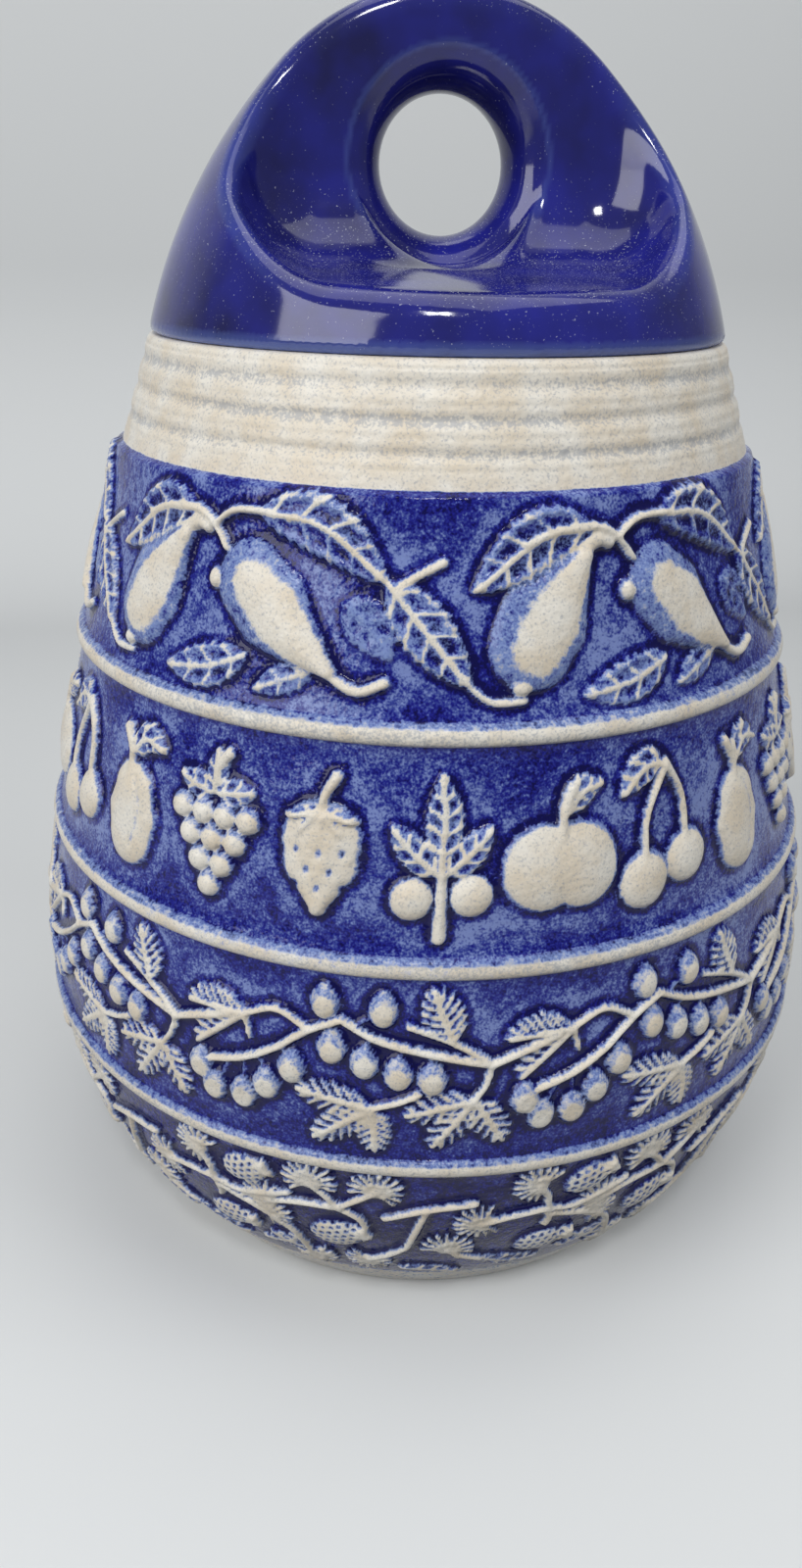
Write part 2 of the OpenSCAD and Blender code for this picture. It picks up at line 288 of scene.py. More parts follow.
class Relief:
    """One repeat of a frieze. x runs round the jar, z up, both in millimetres.

    height is how far the form stands off the ground, and wiped is how far
    the slip was wiped off it: 0 is full slip, 1 is clean clay.
    """

    def __init__(self, period, low, high, columns, rows):
        self.period, self.low, self.high = period, low, high
        self.x, self.z = np.meshgrid(
            np.arange(columns) * period / columns, np.linspace(low, high, rows + 1))
        self.step = (period / columns, (high - low) / rows)
        self.height = np.zeros_like(self.x)
        self.wiped = np.zeros_like(self.x)

    def lay(self, height, wiped):
        """Adds a form: the higher of the old and the new shows."""
        over = height > self.height
        self.height = np.where(over, height, self.height)
        self.wiped = np.where(over, wiped, self.wiped)

    def around(self, x, z):
        """Offsets of every point of the strip from (x, z), round the jar the short way."""
        half = self.period / 2
        return (self.x - x + half) % self.period - half, self.z - z

    def along(self, points):
        """For a smooth line through points: how far along it the nearest place is, the signed
        distance from it, and its length."""
        line = spline(points)
        middle = line.mean(axis=0)
        dx, dz = self.around(*middle)
        line = line - middle
        a, b = line[:-1], line[1:]
        run = b - a
        size = np.hypot(run[:, 0], run[:, 1])
        start = np.concatenate([[0], np.cumsum(size)])[:-1]
        best = np.full(dx.shape, 1e9)
        place, side = np.zeros_like(dx), np.zeros_like(dx)
        for i in range(len(a)):
            px, pz = dx - a[i, 0], dz - a[i, 1]
            t = np.clip((px * run[i, 0] + pz * run[i, 1]) / (size[i] ** 2 + 1e-12), 0, 1)
            gap = np.hypot(px - t * run[i, 0], pz - t * run[i, 1])
            near = gap < best
            best = np.where(near, gap, best)
            place = np.where(near, start[i] + t * size[i], place)
            turn = run[i, 0] * pz - run[i, 1] * px
            side = np.where(near, np.sign(turn), side)
        total = size.sum()
        return place / total, best * np.where(side == 0, 1, side), total

    def stem(self, points, widths, high, wiped=0.95):
        """A rounded stem with the given widths along it."""
        t, d, _ = self.along(points)
        half = np.interp(t, np.linspace(0, 1, len(widths)), widths) / 2
        form = np.sqrt(np.clip(1 - (d / half) ** 2, 0, 1))
        rise = high * np.minimum(1, form * 1.15)
        self.lay(rise, wiped * (0.3 * (form > 0.1) + 0.7 * smooth(0.3, 0.75, form)))

    def blob(self, points, widths, high, wiped=1.0, lean=(0.0, 0.0), keep=0.3):
        """A swelling fruit along a line; lean is the side that keeps its slip, and keep is how
        far up its flank the slip stays."""
        t, d, _ = self.along(points)
        half = np.interp(t, np.linspace(0, 1, len(widths)), widths) / 2
        form = np.clip(1 - (d / half) ** 2, 0, 1) ** 0.58
        middle = np.asarray(points, float).mean(axis=0)
        dx, dz = self.around(*middle)
        shade = (dx * lean[0] + dz * lean[1]) / max(widths)
        self.lay(high * form, wiped * (0.36 * (form > 0.12) + 0.64 * smooth(keep, keep + 0.25, form - shade)))

    def berry(self, x, z, radius, high, tall=1.12, patch=0.5, drop=0.0):
        """A berry, wiped on the part below its middle; drop draws its top out to a point."""
        dx, dz = self.around(x, z)
        wide = radius * (1 - drop * smooth(0, 1.4, dz / radius))
        form = np.clip(1 - (dx / wide) ** 2 - (dz / (radius * tall)) ** 2, 0, 1)
        away = np.hypot(dx, (dz + 0.25 * radius) / tall) / radius
        self.lay(high * form ** 0.5, 0.5 * (form > 0.12) + 0.5 * (1 - smooth(patch, patch + 0.25, away)))

    def leaf(self, points, half, high, teeth=9, veins=5, wiped=0.75, shade=0.0):
        """A toothed leaf along its midrib, with a raised rim and veins.

        shade keeps the slip on one half: above 0 on the right of the midrib, below 0 on the left.
        """
        t, d, total = self.along(points)
        tooth = (t * teeth) % 1.0
        edge = half * np.sin(np.pi * np.clip(t, 0.001, 0.999) ** 0.85) ** 0.75
        edge = edge * (1 - 0.17 * (1 - tooth))
        u = np.abs(d) / np.maximum(edge, 0.05)
        flank = np.sqrt(np.clip((1 - u) * edge / 0.8, 0, 1))
        rim = smooth(0.58, 0.86, u)
        slant = (t * total - np.abs(d) * 0.75) / (total / veins)
        vein = np.exp(-(((slant % 1.0) - 0.5) * (total / veins) / 0.62) ** 2) * smooth(0.02, 0.2, u)
        midrib = np.exp(-(d / 0.8) ** 2)
        ridge = np.clip(np.maximum(np.maximum(rim * 0.85, vein * 0.75), midrib), 0, 1)
        rise = high * (0.5 + 0.5 * ridge) * flank
        keep = np.clip(1 - 0.8 * smooth(0, 1.5, -d * math.copysign(1, shade)) * abs(shade), 0, 1)
        bared = smooth(0.35, 0.85, np.maximum(np.maximum(0.62 * rim, vein), midrib))
        self.lay(rise * (u < 1), (0.22 + (wiped - 0.22) * bared) * keep * smooth(0.05, 0.5, flank))

    def lobe(self, start, tip, half, high, fingers=6, sides=(1, -1), wiped=0.9):
        """A lobe cut into fingers on one or both sides of its rib."""
        start, tip = np.asarray(start, float), np.asarray(tip, float)
        run = tip - start
        size = math.hypot(*run)
        along = run / size
        across = np.array([-along[1], along[0]])
        t, d, _ = self.along([start, start + run * 0.5, tip])
        edge = half * np.sin(np.pi * np.clip(t * 0.92 + 0.04, 0, 1)) ** 0.6
        u = np.abs(d) / np.maximum(edge, 0.05)
        on_side = np.zeros_like(d)
        for side in sides:
            on_side = np.maximum(on_side, (d * side > -0.3) * 1.0)
        self.lay(high * 0.5 * np.sqrt(np.clip((1 - u) * 2, 0, 1)) * on_side, 0.12 + 0 * d)
        for side in sides:
            for i in range(fingers):
                f = (i + 0.7) / fingers
                root = start + run * (f * 0.86) + across * side * half * 0.22
                reach = half * (math.sin(math.pi * min(1, f * 0.85 + 0.12)) ** 0.6) + 0.5
                end = start + run * (f * 0.86 + 0.16) + across * side * reach
                self.stem([root, (root + end) / 2, end], (0.9, 1.3, 1.0), high * 0.85, wiped * 0.85)
        self.stem([start, start + run * 0.5, tip], (1.9, 1.8, 1.6), high, 1.0)

    def fan(self, x, z, heading, radius, high, fingers=12, spread=240):
        """A fan-shaped leaflet: a low shell with fingers all round its open side."""
        dx, dz = self.around(x, z)
        away = np.hypot(dx, dz)
        form = np.sqrt(np.clip(1 - (away / (radius * 0.6)) ** 2, 0, 1))
        self.lay(high * 0.9 * form, 0.85 * smooth(0.2, 0.7, form))
        for i in range(fingers):
            a = math.radians(heading - spread / 2 + spread * i / (fingers - 1))
            ray = np.array([math.cos(a), math.sin(a)])
            base = np.array([x, z])
            self.stem([base + ray * radius * 0.4, base + ray * radius * 0.8, base + ray * radius * 1.15],
                      (1.1, 1.2, 0.9), high, 0.9)

    def bramble(self, x, z, heading, long, wide, high, pitch=2.3):
        """A raspberry with pits between its drupelets and a crown of sepals."""
        a = math.radians(heading)
        dx, dz = self.around(x, z)
        p = dx * math.cos(a) + dz * math.sin(a)
        q = -dx * math.sin(a) + dz * math.cos(a)
        form = np.sqrt(np.clip(1 - (p / long) ** 2 - (q / wide) ** 2, 0, 1))
        row = np.round(q / (pitch * 0.8))
        gap = np.hypot((p / pitch + row * 0.5 + 0.5) % 1.0 - 0.5, (q - row * pitch * 0.8) / pitch) * pitch
        pit = np.exp(-(gap / 0.62) ** 2)
        self.lay(high * form * (1 - 0.42 * pit), smooth(0.2, 0.6, form) * (1 - 1.3 * pit).clip(0, 1) * 0.95)
        crown = np.array([x + long * math.cos(a), z + long * math.sin(a)])
        for turn in (-100, -60, -20, 20, 60, 100):
            b = a + math.radians(180 + turn)
            tip = crown + 4.2 * np.array([math.cos(b), math.sin(b)]) * (1 - abs(turn) / 300)
            self.stem([crown, (crown + tip) / 2, tip], (1.4, 1.9, 0.7), high * 1.05, 0.95)

    def blurred(self, values, radius):
        """The strip blurred by radius, in millimetres, round the jar without a seam."""
        for axis in (0, 1):
            taps = max(1, int(round(2.5 * radius / self.step[1 - axis])))
            weights = np.exp(-0.5 * (np.arange(-taps, taps + 1) * self.step[1 - axis] / radius) ** 2)
            weights /= weights.sum()
            if axis == 0:
                padded = np.pad(values, ((taps, taps), (0, 0)), mode="edge")
                values = sum(w * padded[i:i + values.shape[0]] for i, w in enumerate(weights))
            else:
                values = sum(w * np.roll(values, i - taps, axis=1) for i, w in enumerate(weights))
        return values


def spline(points, steps=6):
    """A smooth line through points, as rows of x and z."""
    p = np.asarray(points, float)
    if len(p) < 3:
        return np.linspace(p[0], p[-1], steps + 1)
    p = np.vstack([2 * p[0] - p[1], p, 2 * p[-1] - p[-2]])
    out = []
    for i in range(1, len(p) - 2):
        for s in range(steps):
            t = s / steps
            out.append(0.5 * (2 * p[i] + (p[i + 1] - p[i - 1]) * t
                              + (2 * p[i - 1] - 5 * p[i] + 4 * p[i + 1] - p[i + 2]) * t * t
                              + (3 * p[i] - p[i - 1] - 3 * p[i + 1] + p[i + 2]) * t ** 3))
    out.append(p[-2])
    return np.array(out)


# The four friezes, drawn about the middle of one repeat


def draw_pears(r, z):
    """Two pears under an arched twig, with toothed leaves."""
    def at(*pairs):
        return [(x, z + y) for x, y in pairs]

    r.leaf(at((29, 2), (35, -2), (40, -9)), 5.5, 1.1, 7, 4, 0.35)
    r.leaf(at((8, -11), (-2, -15), (-14, -17)), 5.2, 1.5, 8, 4, 0.8)
    r.leaf(at((24, -12), (17, -15), (10, -18)), 3.6, 1.4, 6, 3, 0.7)
    r.leaf(at((-10, 17.5), (-23, 15.5), (-38, 5)), 6.5, 2.0, 11, 5, 1.0, 0.35)
    r.leaf(at((8, 19), (24, 17), (39, 6.5)), 6.6, 2.0, 11, 5, 1.0, 0.5)
    r.leaf(at((-56, 7), (-48, -2), (-38, -14)), 6.2, 2.0, 10, 5, 0.95)
    r.stem(at((-40, -12), (-34, -17), (-27, -17)), (1.2, 1.6, 1.8), 1.6)
    r.stem(at((-55, 5), (-50, 8), (-44, 11)), (1.6, 1.9, 2.0), 1.4)
    r.stem(at((-27, 14.5), (-18, 17.3), (-8, 17.3), (-3, 14), (0, 10.5)), (1.2, 1.8, 1.8, 1.8, 1.8), 2.0)
    r.stem(at((-4, 15), (1, 18.3), (8, 19), (16, 18.2)), (1.8, 1.8, 1.8, 1.3), 2.0)
    r.blob(at((-25, -6), (-23, -2), (-18, 5), (-12.5, 12)), (19, 21, 13, 5), 2.8, 1.0, (-0.28, 0.12), 0.68)
    r.blob(at((-13, 13), (-9, 15), (-6, 14)), (3.5, 4.4, 3.0), 2.0, 1.0)
    r.berry(-27.5, z - 14, 2.4, 2.4, 0.9, 0.6)
    r.blob(at((7, 4.5), (11, 1), (18, -5), (27, -12)), (17.5, 19, 11.5, 3.5), 2.8, 1.0, (-0.38, -0.06), 0.6)
    r.berry(-2, z + 4, 2.1, 2.2, 1.2, 0.7)
    r.stem(at((26, -12), (33, -15.5), (39, -13.5)), (2.0, 2.6, 2.4), 1.9)


def draw_fruits(r, z, cell):
    """Six bold fruits side by side: apple, cherries, plum, grapes, strawberry and a sprig."""
    def at(i, *pairs):
        return [((i + 0.5) * cell + x, z + y) for x, y in pairs]

    # apple
    r.stem(at(0, (0, 3), (0.5, 9), (2.5, 14)), (2.2, 2.4, 3.0), 2.2)
    r.leaf(at(0, (1, 8), (5, 13), (11, 14.5)), 3.9, 2.0, 7, 4, 1.0)
    r.blob(at(0, (-4.5, -4), (-4.0, -3), (-3.0, -3)), (19.5, 20, 20), 2.6)
    r.blob(at(0, (4.5, -4), (4.0, -3), (3.0, -3)), (19.5, 20, 20), 2.6)
    # cherries
    r.stem(at(1, (-6, -5), (-5, 5), (1, 16)), (1.8, 1.8, 2.6), 2.0)
    r.stem(at(1, (6, -2), (5.5, 8), (1, 16)), (1.8, 1.8, 2.6), 2.0)
    r.leaf(at(1, (1, 15.5), (-5, 16), (-12, 10)), 4.3, 2.0, 8, 4, 1.0)
    r.blob(at(1, (-6.3, -10.5), (-6, -10), (-5.7, -9.5)), (13.4, 13.6, 13.4), 2.7, 1.0, (0.2, 0.2))
    r.blob(at(1, (6.2, -7.5), (6.5, -7), (6.8, -6.5)), (12.6, 12.8, 12.6), 2.7, 1.0, (0.2, 0.2))
    # plum
    r.stem(at(2, (-1, 6), (-1.5, 11), (-4, 16)), (2.0, 2.2, 3.0), 2.0)
    r.leaf(at(2, (-1, 10), (4, 15), (11, 13)), 3.9, 2.0, 7, 4, 1.0)
    r.blob(at(2, (0, -9), (0, -4), (0, 1)), (17, 20, 16), 2.7)
    # grapes
    r.stem(at(3, (0, 10), (0.5, 14), (3, 17.5)), (2.2, 2.4, 3.0), 1.9)
    for tip, half in (((-11, 11), 3.6), ((0, 18.5), 3.4), ((11, 10), 3.6)):
        r.leaf(at(3, (0, 8), (tip[0] * 0.5, 8.5 + tip[1] * 0.05), tip), half, 1.6, 6, 3, 0.9)
    for row, (y, count) in enumerate(((3.4, 4), (-2.2, 3), (-7.8, 2), (-13.2, 1))):
        for k in range(count):
            x = (k - (count - 1) / 2) * 6.1
            r.berry(at(3, (x, y))[0][0], z + y, 3.25, 2.6, 1.0, 0.72)
    # strawberry
    r.blob(at(4, (0, -13), (0, -6), (0, 2)), (4.5, 17, 19), 2.7)
    for turn in (-80, -40, 0, 40, 80):
        b = math.radians(-90 + turn)
        tip = (9.0 * math.cos(b), 8 + 6.5 * math.sin(b))
        r.leaf(at(4, (0, 9), (tip[0] * 0.6, 8.5 + (tip[1] - 8.5) * 0.5), tip), 1.9, 3.1, 4, 2, 1.0)
    r.stem(at(4, (0, 8), (0.5, 12), (3, 16.5)), (2.4, 2.4, 3.0), 2.4)
    # sprig of leaves with two berries
    r.leaf(at(5, (0, -1), (0.5, 9), (0, 18.5)), 4.6, 2.0, 9, 5, 1.0)
    r.leaf(at(5, (0, -4), (-6, 1), (-11.5, 7)), 4.0, 2.0, 8, 4, 1.0)
    r.leaf(at(5, (0, -4), (6, 1), (11.5, 7)), 4.0, 2.0, 8, 4, 1.0)
    r.stem(at(5, (0, 2), (0, -6), (-0.5, -18)), (2.0, 2.4, 3.4), 2.2)
    r.blob(at(5, (-6.7, -9.8), (-6.5, -9.5), (-6.3, -9.2)), (9.6, 9.8, 9.6), 2.6)
    r.blob(at(5, (6.3, -8.8), (6.5, -8.5), (6.7, -8.2)), (9.6, 9.8, 9.6), 2.6)
    # furrow of the plum and seeds of the strawberry are pressed in
    t, d, _ = r.along(at(2, (1.5, 6), (4, -2), (2, -12)))
    r.height -= 0.55 * np.exp(-(d / 0.7) ** 2) * (r.height > 1.2) * (t > 0.01) * (t < 0.99)
    r.wiped -= 0.4 * np.exp(-(d / 0.6) ** 2) * (t > 0.01) * (t < 0.99)
    for y, count in ((0, 3), (-4, 2), (-8, 3), (-12, 0)):
        for k in range(count):
            dx, dz = r.around(at(4, ((k - (count - 1) / 2) * 5.2, 0))[0][0], z + y)
            pit = np.exp(-((dx / 0.75) ** 2 + (dz / 1.1) ** 2))
            r.height -= 0.7 * pit
            r.wiped -= 0.9 * pit


def draw_currants(r, per_degree):
    """Currants hanging from a wavy branch, with cut leaves."""
    def at(*pairs):
        return [(a * per_degree, z) for a, z in pairs]

    def place(a, z):
        return a * per_degree, z

    # leaves
    r.lobe(place(-11, 108), place(-19, 107), 4.6, 1.9, 7, (-1,))
    r.lobe(place(-11, 108), place(-17.5, 97), 4.4, 1.9, 6, (-1,))
    r.stem(at((-11, 108), (-10.7, 105), (-10.3, 102)), (1.5, 1.5, 1.3), 1.7)
    r.lobe(place(14.5, 106.5), place(12, 119.5), 4.4, 2.0, 6, (1, -1))
    r.stem(at((18.5, 102), (16, 105), (14.5, 106.5)), (1.8, 1.8, 1.7), 2.0)
    r.stem(at((14.5, 106.5), (12, 108.5), (9, 110.5)), (1.6, 1.6, 1.5), 1.8)
    for tip in ((9, 87.5), (12.2, 78.8), (20.5, 80)):
        r.lobe(place(17, 92), place(*tip), 3.6, 1.8, 5, (1, -1))
    r.stem(at((19, 101), (18.3, 96), (17, 92)), (1.9, 1.8, 1.7), 2.0)
    for tip in ((-4, 91.5), (-2, 78.5), (5.5, 76.5)):
        r.lobe(place(5, 89), place(*tip), 3.6, 1.8, 6, (1, -1))
    r.stem(at((10.5, 93.5), (8, 91), (5, 89)), (1.7, 1.8, 1.7), 1.9)
    # branch
    r.stem(at((-15.5, 93.5), (-11, 96.5), (-7, 101), (-3, 107), (1, 111)), (2.2, 2.2, 2.0, 2.0, 2.0), 2.1)
    r.stem(at((1, 111), (6, 106.5), (14, 103), (19, 101)), (2.0, 2.0, 2.2, 2.2), 2.1)
    r.stem(at((19, 101), (23, 104), (27, 107)), (2.2, 2.2, 2.0), 2.1)
    r.stem(at((-11, 108), (-7, 111), (-3, 107.5)), (1.7, 1.8, 1.8), 1.9)
    # currants with their short stalks
    for a, z, b, y in ((-1, 115, 0.5, 111), (6, 114.3, 3, 110), (0, 104, -0.2, 109), (4, 101, 4.5, 107),
                       (8, 98.7, 8.5, 105.5), (12, 97.7, 11.5, 104), (-17, 91.3, -14, 95),
                       (-15, 86.3, -13, 94), (-11, 86.6, -11, 95), (-8, 91, -9, 98), (-4.8, 97, -6, 101)):
        r.stem(at((a, z), ((a + b) / 2, (z + y) / 2), (b, y)), (1.2, 1.1, 1.1), 1.0, 0.3)
        r.berry(a * per_degree, z, 3.8, 2.7, 1.25, 0.45, 0.3)


def draw_brambles(r, per_degree):
    """Raspberries on curved canes, with fan-shaped leaflets."""
    def at(*pairs):
        return [(a * per_degree, z) for a, z in pairs]

    for points, half in ((((-31, 33), (-27, 29), (-21, 27)), 3.6), (((0, 30), (4, 26), (10, 24.5)), 3.6),
                         (((19, 36), (17, 30), (12, 27)), 3.4), (((-12, 24), (-7, 23), (-2, 21)), 2.8)):
        r.leaf(at(*points), half, 1.6, 9, 5, 0.8)
    for a, z, heading, radius in ((-23, 62.5, 100, 6.0), (-14.5, 62.5, 70, 5.8), (-29.5, 50.5, 160, 6.2),
                                  (-1, 49.5, 190, 6.0), (6, 62.5, 150, 5.6), (-5, 37, 60, 6.2),
                                  (15.5, 44.5, 30, 5.6), (-16, 28, 250, 5.6), (21, 25.5, 300, 5.2)):
        r.fan(a * per_degree, z, heading, radius, 1.9)
    for line in (((-23, 62), (-21, 58), (-19.5, 54)), ((-14.5, 62), (-17, 58), (-19.5, 54)),
                 ((-29, 50.5), (-25, 53), (-19.5, 54)), ((-19.5, 54), (-17, 51), (-16, 47)),
                 ((-13.5, 51.5), (-8, 56), (-2, 58)), ((-8, 56), (-9, 49), (-10.5, 38)),
                 ((-1, 49), (3, 51), (8, 52)), ((6, 62), (7.5, 57), (8, 50)), ((8, 50), (8.3, 47), (8, 45)),
                 ((8, 52), (12, 51), (19, 56)), ((15.5, 44), (12, 47), (8, 50)),
                 ((-10.5, 38), (-13, 33), (-16, 29)), ((-5, 37), (-3, 33), (0, 30)),
                 ((15.5, 44), (18.5, 38), (20.5, 27))):
        r.stem(at(*line), (1.9, 2.2, 2.1), 2.1)
    r.bramble(-20 * per_degree, 41.5, 20, 8.4, 6.4, 2.6)
    r.bramble(13 * per_degree, 60.5, 25, 7.2, 5.4, 2.5)
    r.bramble(8.5 * per_degree, 35.5, 10, 8.2, 5.6, 2.5)


def frieze(name, wall, relief_size, pattern, repeats, columns, materials, top=None):
    """A closed shell round the jar: the glazed ground with its moulded pattern.

    The grid is rolled into a ring and welded, its two borders are turned inward and bridged,
    and the points go out to the wall plus the pattern's height.
    """
    rows = pattern.height.shape[0] - 1
    low, high = pattern.low, pattern.high
    bm = bmesh.new()
    bmesh.ops.create_grid(bm, x_segments=columns, y_segments=rows, size=0.5)
    for v in bm.verts:
        turn = (v.co.x + 0.5) * math.tau
        v.co = (math.cos(turn), math.sin(turn), v.co.y)
    bmesh.ops.remove_doubles(bm, verts=[v for v in bm.verts if v.co.x > 0.999999], dist=1e-5)
    border = [e for e in bm.edges if e.is_boundary]
    inner = bmesh.ops.extrude_edge_only(bm, edges=border)["geom"]
    for v in inner:
        if isinstance(v, bmesh.types.BMVert):
            v.co.x *= 0.5
            v.co.y *= 0.5
            v.co.z *= 0.99
    bmesh.ops.bridge_loops(bm, edges=[e for e in bm.edges if e.is_boundary])
    bmesh.ops.recalc_face_normals(bm, faces=bm.faces)
    mesh = bpy.data.meshes.new(name)
    bm.to_mesh(mesh)
    bm.free()

    unit = points_of(mesh) * MM
    radius = np.hypot(unit[:, 0], unit[:, 1])
    turn = np.arctan2(unit[:, 1], unit[:, 0])
    # column 0 stands at the back, so that the weld is out of sight
    column = np.round(turn / math.tau * columns).astype(int) % columns
    row = np.clip(np.round((unit[:, 2] + 0.5) * rows).astype(int), 0, rows)
    z = low + (unit[:, 2] + 0.5) * (high - low)

    rise = pattern.blurred(pattern.height, 0.33) * relief_size.depth
    wiped = pattern.blurred(pattern.wiped, 0.26)
    # darker in the hollows beside the relief: pooled slip, and painted shade there too
    pool_and_shade = np.clip((pattern.blurred(rise, 1.4) - rise) / 0.5, 0, 1)
    pool_and_shade = pool_and_shade - 0.5 * smooth(0.02, 0.3, pattern.blurred(pattern.height, 4.5)) * (pool_and_shade < 0.2)
    each = pattern.height.shape[1]
    place = (row, column % each)

    # the ground swells a little, as a moulded wall does
    swell = 0.1 * np.sin(turn * 11 + z * 0.21) + 0.08 * np.sin(turn * 23 - z * 0.37)
    ground = relief_size.ground + swell * 0.6
    fillet = 0.9 * (np.exp(-((z - low) / 3.6) ** 2) + (np.exp(-((z - high) / 3.6) ** 2) if top is None else 0))
    if low < 40:
        fillet = 0.9 * np.exp(-((z - high) / 3.6) ** 2)
        ground = ground - 0.9 * np.exp(-((z - low) / 0.8) ** 2)
    if top is not None:
        ground = ground + wall.jar.neck_step * smooth(-14, -2, z - high)
        ground = ground - (ground + 0.35) * smooth(-1.1, 0, z - high)
    out = wall.outer(z) + ground + fillet + rise[place]
    out = np.minimum(out, relief_size.limit - 0.35 * np.maximum(0, 1 - rise[place]))
    far = np.where(radius < 0.75, wall.outer(z) - 1.2, out)
    angle = turn + math.pi / 2
    move_points(mesh, np.column_stack([far * np.cos(angle), far * np.sin(angle), z]))
    paint(mesh, "wiped", np.clip(wiped[place], 0, 1))
    # painted shade: the slip is painted darker towards the bottom of the jar, from about 118 mm down to 40 mm
    paint(mesh, "pool_and_shade", pool_and_shade[place] + 0.7 * smooth(118, 40, z) * (1 - 0.6 * pool_and_shade[place]))
    return shown_mesh(name, mesh, materials, "jar", "jar")


# Materials


def node(tree, kind, inputs=None, **settings):
    """Adds a node. Inputs are plain values, or sockets to link from."""
    made = tree.nodes.new(kind)
    for key, value in settings.items():
        setattr(made, key, value)
    for key, value in (inputs or {}).items():
        if isinstance(value, bpy.types.NodeSocket):
            tree.links.new(value, made.inputs[key])
        else:
            made.inputs[key].default_value = value
    return made


def ramp(tree, factor, stops):
    """A colour ramp through (position, colour) stops."""
    made = node(tree, "ShaderNodeValToRGB", {"Fac": factor})
    elements = made.color_ramp.elements
    while len(elements) < len(stops):
        elements.new(0.5)
    for element, (position, value) in zip(elements, stops):
        element.position = position
        element.color = (*value, 1) if not isinstance(value, float) else (value, value, value, 1)
    return made.outputs["Color"]


def blank(name):
    """A new material with a Principled shader, and its tree and object coordinates."""
    material = bpy.data.materials.new(name)
    material.use_nodes = True
    tree = material.node_tree
    shader = tree.nodes["Principled BSDF"]
    place = node(tree, "ShaderNodeTexCoord").outputs["Object"]
    return material, tree, shader, place


def per_mm(size):
    """Noise scale whose features are about size millimetres across."""
    return 1000.0 / size


def noise(tree, place, size, detail=2.0, rough=0.5):
    """Noise with features of about size millimetres."""
    return node(tree, "ShaderNodeTexNoise",
                {"Vector": place, "Scale": per_mm(size), "Detail": detail, "Roughness": rough}).outputs["Fac"]


def math_node(tree, operation, a, b=0.0, c=0.0):
    """A maths step."""
    return node(tree, "ShaderNodeMath", {0: a, 1: b, 2: c}, operation=operation).outputs[0]


def salt_glaze(finish):
    """Cobalt slip under salt glaze, on cream stoneware.

    The slip is wiped off the raised forms, breaks up at their edges, gathers dark in the
    hollows beside them, darker still there as painted shade, is painted darker towards the
    bottom of the jar as shade, and is mottled everywhere by the salt. The surface is glossy
    over a fine orange peel.
    """
    material, tree, shader, place = blank("salt_glazed_cobalt_slip")
    wiped = node(tree, "ShaderNodeAttribute", attribute_name="wiped").outputs["Fac"]
    pool_and_shade = node(tree, "ShaderNodeAttribute", attribute_name="pool_and_shade").outputs["Fac"]
    worn = node(tree, "ShaderNodeAttribute", attribute_name="worn").outputs["Fac"]
    grain = noise(tree, place, 0.6, 1.0, 0.5)
    patch = noise(tree, place, 1.9, 2.0, 0.6)
    cloud = noise(tree, place, 9.0, 2.0, 0.5)
    wash = noise(tree, place, 16.0, 1.0, 0.5)
    # slip: from pooled to thin, driven by grain, patches, clouds, washes, and by pooled slip and painted shade in
    # the hollows by the relief and low on the jar
    thin = math_node(tree, "MULTIPLY_ADD", grain, 1.2, -0.6)
    thin = math_node(tree, "MULTIPLY_ADD", patch, 1.2, thin)
    thin = math_node(tree, "MULTIPLY_ADD", cloud, 0.6, math_node(tree, "SUBTRACT", thin, 0.51))
    thin = math_node(tree, "MULTIPLY_ADD", wash, 0.9, math_node(tree, "SUBTRACT", thin, 0.43))
    # painted shade: the attribute read here darkens the slip in the hollows and towards the bottom of the jar,
    # besides real pooling
    thin = math_node(tree, "MULTIPLY_ADD", pool_and_shade, -0.6, thin)
    slip = ramp(tree, thin, ((0.02, tuple(finish.cobalt_pool_and_shade)), (0.34, tuple(finish.cobalt_deep)),
                             (0.56, tuple(finish.cobalt)), (0.92, tuple(finish.cobalt_pale))))
    # clay: cream, warmer in clouds, with faint grey-blue grains, more of them where it is worn
    warm = node(tree, "ShaderNodeMix", {0: ramp(tree, cloud, ((0.35, 0.0), (0.65, 1.0))),
                                        6: (*finish.clay, 1), 7: (*finish.clay_warm, 1)},
                data_type="RGBA").outputs[2]
    speck = math_node(tree, "MULTIPLY_ADD", worn, math_node(tree, "MULTIPLY_ADD", patch, 1.2, -0.35), grain)
    speck = math_node(tree, "MULTIPLY", ramp(tree, speck, ((0.52, 0.0), (0.78, 1.0))), 0.6)
    clay = node(tree, "ShaderNodeMix", {0: speck, 6: warm, 7: (*finish.clay_speck, 1)},
                data_type="RGBA").outputs[2]
    # the slip's broken edge
    edge = math_node(tree, "MULTIPLY_ADD", patch, 0.8, -0.4)
    edge = math_node(tree, "ADD", edge, wiped)
    edge = math_node(tree, "MULTIPLY_ADD", grain, 0.5, math_node(tree, "SUBTRACT", edge, 0.25))
    thinned = ramp(tree, edge, ((0.16, 0.0), (0.5, 1.0)))
    halo = node(tree, "ShaderNodeMix", {0: thinned, 6: slip, 7: (*finish.cobalt_veil, 1)},
                data_type="RGBA").outputs[2]
    bare = ramp(tree, edge, ((0.44, 0.0), (0.72, 1.0)))
    half = node(tree, "ShaderNodeMix", {0: bare, 6: halo, 7: clay}, data_type="RGBA").outputs[2]
    tree.links.new(half, shader.inputs["Base Color"])
    rough = node(tree, "ShaderNodeMapRange", {"Value": edge, "To Min": 0.15, "To Max": 0.36}).outputs[0]
    tree.links.new(rough, shader.inputs["Roughness"])
    shader.inputs["Specular IOR Level"].default_value = 0.27
    peel = noise(tree, place, 1.5, 1.0, 0.5)
    bump = node(tree, "ShaderNodeBump", {"Height": peel, "Strength": 0.5, "Distance": 0.0004})
    tree.links.new(bump.outputs[0], shader.inputs["Normal"])
    return material


